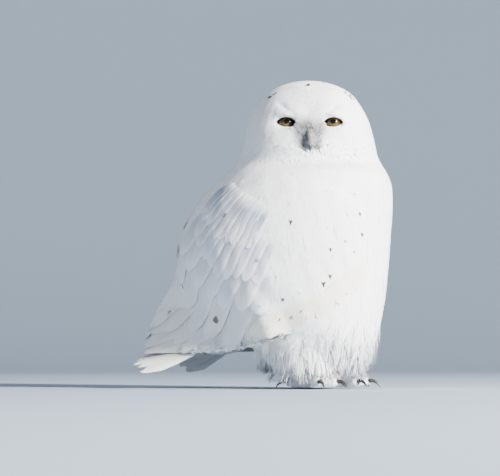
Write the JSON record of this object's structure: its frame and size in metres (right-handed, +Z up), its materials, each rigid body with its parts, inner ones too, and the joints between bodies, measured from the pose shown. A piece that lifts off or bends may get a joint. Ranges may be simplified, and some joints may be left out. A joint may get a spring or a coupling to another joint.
{
  "type": "snowy owl",
  "caption": "Life-size adult male snowy owl at rest on flat ground, wings folded, tail fanned on the ground behind it, and its head turned over its right shoulder.",
  "frame": {"origin": "on the floor, at the centre of the footprint of the whole bird's bounding box", "axes": "+Z up, the bird's body faces -Y, its tail points to +Y and its right side is at -X"},
  "size_m": [0.2462, 0.3523, 0.4185],
  "materials": {
    "coat": "soft matte white plumage with a few small dark marks",
    "iris": "wet amber eye with a black pupil",
    "horn": "smooth black horn of bill and claws"
  },
  "bodies": {
    "root": {"head": "coat", "neck": "coat", "trunk": "coat", "wing_right": "coat", "wing_left": "coat", "tail": "coat", "leg_right": "coat", "leg_left": "coat", "foot_right": "coat", "foot_left": "coat", "eye_right": "iris", "eye_left": "iris", "bill": "horn", "claw_right_inner": "horn", "claw_right_middle": "horn", "claw_right_outer": "horn", "claw_right_hind": "horn", "claw_left_inner": "horn", "claw_left_middle": "horn", "claw_left_outer": "horn", "claw_left_hind": "horn"}
  },
  "joints": []
}
